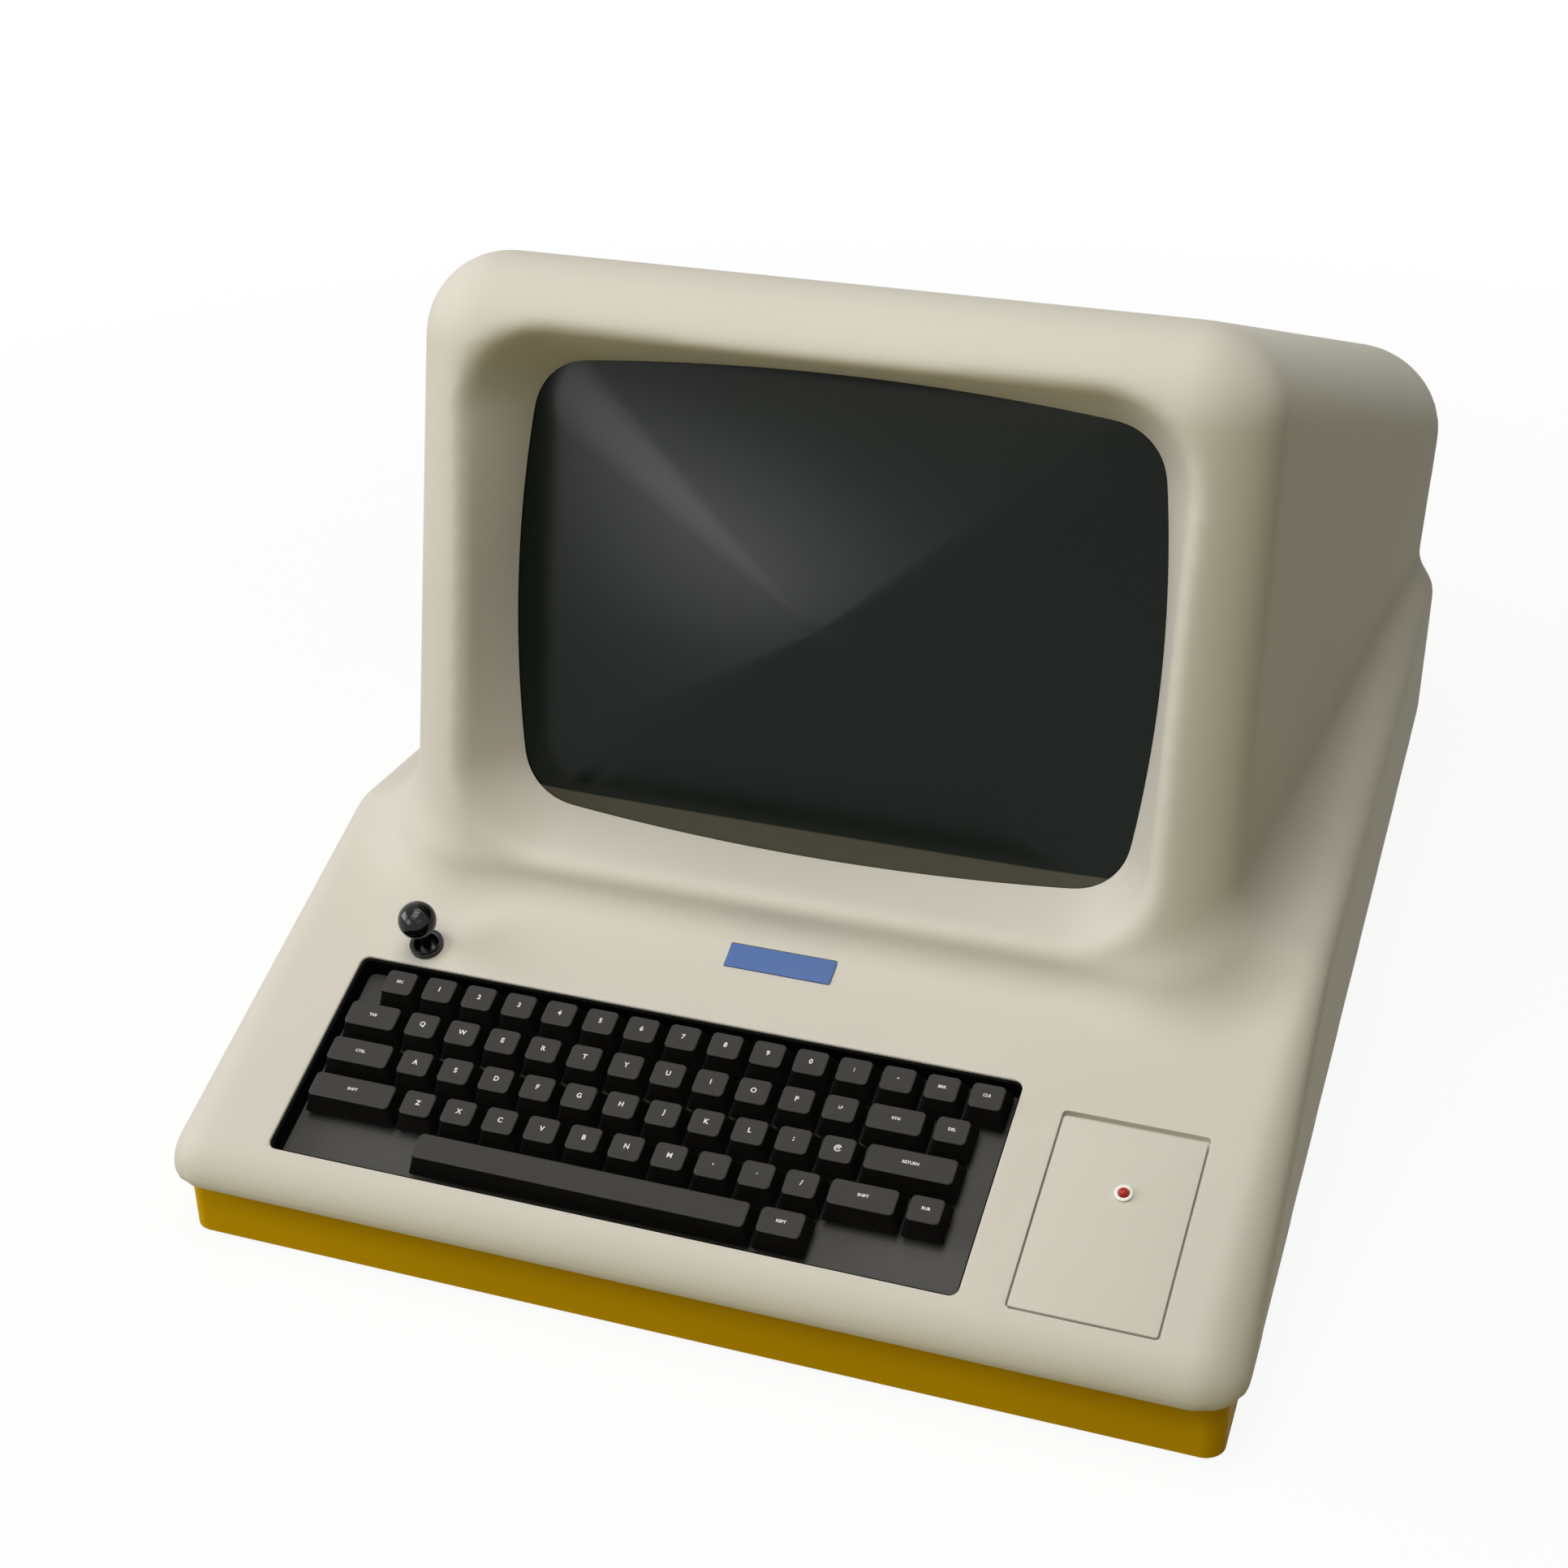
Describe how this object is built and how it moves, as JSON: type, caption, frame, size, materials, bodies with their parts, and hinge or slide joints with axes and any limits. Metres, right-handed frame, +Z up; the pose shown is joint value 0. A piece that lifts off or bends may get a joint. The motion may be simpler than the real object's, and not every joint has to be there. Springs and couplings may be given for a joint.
{
  "type": "home computer",
  "caption": "Wedge-shaped desktop home computer: hooded screen head over a sloping keyboard deck with joystick and side option panel, on a shallow inset base tray.",
  "frame": {"origin": "middle of the footprint on the desk, under the feet", "axes": "+X to the user's right, +Y towards the back, +Z up"},
  "size_m": [0.4668, 0.6406, 0.3823],
  "materials": {
    "cream_moulding": "fine moulded texture, satin",
    "mustard_moulding": "moulded, satin",
    "tube_glass": "dark glass, polished",
    "copper_coil": "wound and varnished",
    "circuit_board": "solder mask",
    "steel_core": "varnished laminations",
    "rear_plate": "moulded, satin",
    "black_switch": "polished",
    "black_knob": "fluted",
    "keyboard_black": "satin",
    "keycap_grey": "fine moulded texture",
    "black_gloss": "polished",
    "black_inside": "moulded",
    "bright_steel": "plain",
    "black_ball": "polished",
    "blue_plate": "satin",
    "cream_panel": "fine moulded texture, satin",
    "red_lens": "clear tinted",
    "white_ring": "polished"
  },
  "bodies": {
    "case": {"upper_case": "cream_moulding", "lower_case": "mustard_moulding", "picture_tube": "tube_glass", "deflection_yoke": "copper_coil", "logic_board": "circuit_board", "power_transformer": "steel_core", "rear_panel": "rear_plate", "keyboard_plate": "keyboard_black", "joystick_collar": "black_gloss", "joystick_housing": "black_inside", "name_plate": "blue_plate", "option_panel": "cream_panel", "lamp_lens": "red_lens", "lamp_ring": "white_ring"},
    "brightness_control": {"brightness_knob": "black_knob"},
    "joystick_ring": {"joystick_gimbal": "bright_steel"},
    "joystick_stick": {"joystick_lever": "black_ball"},
    "power_switch": {"power_rocker": "black_switch"},
    "key_tab": {"key_tab": "keycap_grey"},
    "key_q": {"key_q": "keycap_grey"},
    "key_w": {"key_w": "keycap_grey"},
    "key_e": {"key_e": "keycap_grey"},
    "key_r": {"key_r": "keycap_grey"},
    "key_t": {"key_t": "keycap_grey"},
    "key_y": {"key_y": "keycap_grey"},
    "key_u": {"key_u": "keycap_grey"},
    "key_i": {"key_i": "keycap_grey"},
    "key_o": {"key_o": "keycap_grey"},
    "key_p": {"key_p": "keycap_grey"},
    "key_line_feed": {"key_line_feed": "keycap_grey"},
    "key_rtn": {"key_rtn": "keycap_grey"},
    "key_delete": {"key_delete": "keycap_grey"},
    "key_control": {"key_control": "keycap_grey"},
    "key_a": {"key_a": "keycap_grey"},
    "key_s": {"key_s": "keycap_grey"},
    "key_d": {"key_d": "keycap_grey"},
    "key_f": {"key_f": "keycap_grey"},
    "key_g": {"key_g": "keycap_grey"},
    "key_h": {"key_h": "keycap_grey"},
    "key_j": {"key_j": "keycap_grey"},
    "key_k": {"key_k": "keycap_grey"},
    "key_l": {"key_l": "keycap_grey"},
    "key_semicolon": {"key_semicolon": "keycap_grey"},
    "key_at": {"key_at": "keycap_grey"},
    "key_return": {"key_return": "keycap_grey"},
    "key_left_shift": {"key_left_shift": "keycap_grey"},
    "key_z": {"key_z": "keycap_grey"},
    "key_x": {"key_x": "keycap_grey"},
    "key_c": {"key_c": "keycap_grey"},
    "key_v": {"key_v": "keycap_grey"},
    "key_b": {"key_b": "keycap_grey"},
    "key_n": {"key_n": "keycap_grey"},
    "key_m": {"key_m": "keycap_grey"},
    "key_comma": {"key_comma": "keycap_grey"},
    "key_period": {"key_period": "keycap_grey"},
    "key_slash": {"key_slash": "keycap_grey"},
    "key_right_shift": {"key_right_shift": "keycap_grey"},
    "key_rub_out": {"key_rub_out": "keycap_grey"},
    "key_space": {"key_space": "keycap_grey"},
    "key_repeat": {"key_repeat": "keycap_grey"}
  },
  "joints": [
    {"name": "brightness_turn", "type": "hinge", "parent": "case", "child": "brightness_control", "pos_m": [-0.024, 0.30755, 0.075], "axis": [0, 1, 0], "range_deg": [-135, 135]},
    {"name": "joystick_fore_aft", "type": "hinge", "parent": "case", "child": "joystick_ring", "pos_m": [-0.1574, -0.2005, 0.0904], "axis": [1, 0, 0], "range_deg": [-12, 12], "stiffness_Nm_per_rad": 0.15},
    {"name": "joystick_side", "type": "hinge", "parent": "joystick_ring", "child": "joystick_stick", "pos_m": [-0.1574, -0.2005, 0.0904], "axis": [0, 0.9257, 0.3783], "range_deg": [-12, 12], "stiffness_Nm_per_rad": 0.15},
    {"name": "power_rock", "type": "hinge", "parent": "case", "child": "power_switch", "pos_m": [-0.058, 0.30305, 0.075], "axis": [1, 0, 0], "range_deg": [-14, 0]},
    {"name": "press_tab", "type": "slide", "parent": "case", "child": "key_tab", "axis": [0, 0.3783, -0.9257], "range_m": [0, 0.004], "stiffness_N_per_m": 165, "springref_m": -0.001},
    {"name": "press_q", "type": "slide", "parent": "case", "child": "key_q", "axis": [0, 0.3783, -0.9257], "range_m": [0, 0.004], "stiffness_N_per_m": 150, "springref_m": -0.001},
    {"name": "press_w", "type": "slide", "parent": "case", "child": "key_w", "axis": [0, 0.3783, -0.9257], "range_m": [0, 0.004], "stiffness_N_per_m": 150, "springref_m": -0.001},
    {"name": "press_e", "type": "slide", "parent": "case", "child": "key_e", "axis": [0, 0.3783, -0.9257], "range_m": [0, 0.004], "stiffness_N_per_m": 150, "springref_m": -0.001},
    {"name": "press_r", "type": "slide", "parent": "case", "child": "key_r", "axis": [0, 0.3783, -0.9257], "range_m": [0, 0.004], "stiffness_N_per_m": 150, "springref_m": -0.001},
    {"name": "press_t", "type": "slide", "parent": "case", "child": "key_t", "axis": [0, 0.3783, -0.9257], "range_m": [0, 0.004], "stiffness_N_per_m": 150, "springref_m": -0.001},
    {"name": "press_y", "type": "slide", "parent": "case", "child": "key_y", "axis": [0, 0.3783, -0.9257], "range_m": [0, 0.004], "stiffness_N_per_m": 150, "springref_m": -0.001},
    {"name": "press_u", "type": "slide", "parent": "case", "child": "key_u", "axis": [0, 0.3783, -0.9257], "range_m": [0, 0.004], "stiffness_N_per_m": 150, "springref_m": -0.001},
    {"name": "press_i", "type": "slide", "parent": "case", "child": "key_i", "axis": [0, 0.3783, -0.9257], "range_m": [0, 0.004], "stiffness_N_per_m": 150, "springref_m": -0.001},
    {"name": "press_o", "type": "slide", "parent": "case", "child": "key_o", "axis": [0, 0.3783, -0.9257], "range_m": [0, 0.004], "stiffness_N_per_m": 150, "springref_m": -0.001},
    {"name": "press_p", "type": "slide", "parent": "case", "child": "key_p", "axis": [0, 0.3783, -0.9257], "range_m": [0, 0.004], "stiffness_N_per_m": 150, "springref_m": -0.001},
    {"name": "press_line_feed", "type": "slide", "parent": "case", "child": "key_line_feed", "axis": [0, 0.3783, -0.9257], "range_m": [0, 0.004], "stiffness_N_per_m": 150, "springref_m": -0.001},
    {"name": "press_rtn", "type": "slide", "parent": "case", "child": "key_rtn", "axis": [0, 0.3783, -0.9257], "range_m": [0, 0.004], "stiffness_N_per_m": 165, "springref_m": -0.001},
    {"name": "press_delete", "type": "slide", "parent": "case", "child": "key_delete", "axis": [0, 0.3783, -0.9257], "range_m": [0, 0.004], "stiffness_N_per_m": 150, "springref_m": -0.001},
    {"name": "press_control", "type": "slide", "parent": "case", "child": "key_control", "axis": [0, 0.3783, -0.9257], "range_m": [0, 0.004], "stiffness_N_per_m": 172.5, "springref_m": -0.001},
    {"name": "press_a", "type": "slide", "parent": "case", "child": "key_a", "axis": [0, 0.3783, -0.9257], "range_m": [0, 0.004], "stiffness_N_per_m": 150, "springref_m": -0.001},
    {"name": "press_s", "type": "slide", "parent": "case", "child": "key_s", "axis": [0, 0.3783, -0.9257], "range_m": [0, 0.004], "stiffness_N_per_m": 150, "springref_m": -0.001},
    {"name": "press_d", "type": "slide", "parent": "case", "child": "key_d", "axis": [0, 0.3783, -0.9257], "range_m": [0, 0.004], "stiffness_N_per_m": 150, "springref_m": -0.001},
    {"name": "press_f", "type": "slide", "parent": "case", "child": "key_f", "axis": [0, 0.3783, -0.9257], "range_m": [0, 0.004], "stiffness_N_per_m": 150, "springref_m": -0.001},
    {"name": "press_g", "type": "slide", "parent": "case", "child": "key_g", "axis": [0, 0.3783, -0.9257], "range_m": [0, 0.004], "stiffness_N_per_m": 150, "springref_m": -0.001},
    {"name": "press_h", "type": "slide", "parent": "case", "child": "key_h", "axis": [0, 0.3783, -0.9257], "range_m": [0, 0.004], "stiffness_N_per_m": 150, "springref_m": -0.001},
    {"name": "press_j", "type": "slide", "parent": "case", "child": "key_j", "axis": [0, 0.3783, -0.9257], "range_m": [0, 0.004], "stiffness_N_per_m": 150, "springref_m": -0.001},
    {"name": "press_k", "type": "slide", "parent": "case", "child": "key_k", "axis": [0, 0.3783, -0.9257], "range_m": [0, 0.004], "stiffness_N_per_m": 150, "springref_m": -0.001},
    {"name": "press_l", "type": "slide", "parent": "case", "child": "key_l", "axis": [0, 0.3783, -0.9257], "range_m": [0, 0.004], "stiffness_N_per_m": 150, "springref_m": -0.001},
    {"name": "press_semicolon", "type": "slide", "parent": "case", "child": "key_semicolon", "axis": [0, 0.3783, -0.9257], "range_m": [0, 0.004], "stiffness_N_per_m": 150, "springref_m": -0.001},
    {"name": "press_at", "type": "slide", "parent": "case", "child": "key_at", "axis": [0, 0.3783, -0.9257], "range_m": [0, 0.004], "stiffness_N_per_m": 150, "springref_m": -0.001},
    {"name": "press_return", "type": "slide", "parent": "case", "child": "key_return", "axis": [0, 0.3783, -0.9257], "range_m": [0, 0.004], "stiffness_N_per_m": 187.5, "springref_m": -0.001},
    {"name": "press_left_shift", "type": "slide", "parent": "case", "child": "key_left_shift", "axis": [0, 0.3783, -0.9257], "range_m": [0, 0.004], "stiffness_N_per_m": 187.5, "springref_m": -0.001},
    {"name": "press_z", "type": "slide", "parent": "case", "child": "key_z", "axis": [0, 0.3783, -0.9257], "range_m": [0, 0.004], "stiffness_N_per_m": 150, "springref_m": -0.001},
    {"name": "press_x", "type": "slide", "parent": "case", "child": "key_x", "axis": [0, 0.3783, -0.9257], "range_m": [0, 0.004], "stiffness_N_per_m": 150, "springref_m": -0.001},
    {"name": "press_c", "type": "slide", "parent": "case", "child": "key_c", "axis": [0, 0.3783, -0.9257], "range_m": [0, 0.004], "stiffness_N_per_m": 150, "springref_m": -0.001},
    {"name": "press_v", "type": "slide", "parent": "case", "child": "key_v", "axis": [0, 0.3783, -0.9257], "range_m": [0, 0.004], "stiffness_N_per_m": 150, "springref_m": -0.001},
    {"name": "press_b", "type": "slide", "parent": "case", "child": "key_b", "axis": [0, 0.3783, -0.9257], "range_m": [0, 0.004], "stiffness_N_per_m": 150, "springref_m": -0.001},
    {"name": "press_n", "type": "slide", "parent": "case", "child": "key_n", "axis": [0, 0.3783, -0.9257], "range_m": [0, 0.004], "stiffness_N_per_m": 150, "springref_m": -0.001},
    {"name": "press_m", "type": "slide", "parent": "case", "child": "key_m", "axis": [0, 0.3783, -0.9257], "range_m": [0, 0.004], "stiffness_N_per_m": 150, "springref_m": -0.001},
    {"name": "press_comma", "type": "slide", "parent": "case", "child": "key_comma", "axis": [0, 0.3783, -0.9257], "range_m": [0, 0.004], "stiffness_N_per_m": 150, "springref_m": -0.001},
    {"name": "press_period", "type": "slide", "parent": "case", "child": "key_period", "axis": [0, 0.3783, -0.9257], "range_m": [0, 0.004], "stiffness_N_per_m": 150, "springref_m": -0.001},
    {"name": "press_slash", "type": "slide", "parent": "case", "child": "key_slash", "axis": [0, 0.3783, -0.9257], "range_m": [0, 0.004], "stiffness_N_per_m": 150, "springref_m": -0.001},
    {"name": "press_right_shift", "type": "slide", "parent": "case", "child": "key_right_shift", "axis": [0, 0.3783, -0.9257], "range_m": [0, 0.004], "stiffness_N_per_m": 172.5, "springref_m": -0.001},
    {"name": "press_rub_out", "type": "slide", "parent": "case", "child": "key_rub_out", "axis": [0, 0.3783, -0.9257], "range_m": [0, 0.004], "stiffness_N_per_m": 150, "springref_m": -0.001},
    {"name": "press_space", "type": "slide", "parent": "case", "child": "key_space", "axis": [0, 0.3783, -0.9257], "range_m": [0, 0.004], "stiffness_N_per_m": 360, "springref_m": -0.001},
    {"name": "press_repeat", "type": "slide", "parent": "case", "child": "key_repeat", "axis": [0, 0.3783, -0.9257], "range_m": [0, 0.004], "stiffness_N_per_m": 157.5, "springref_m": -0.001}
  ]
}
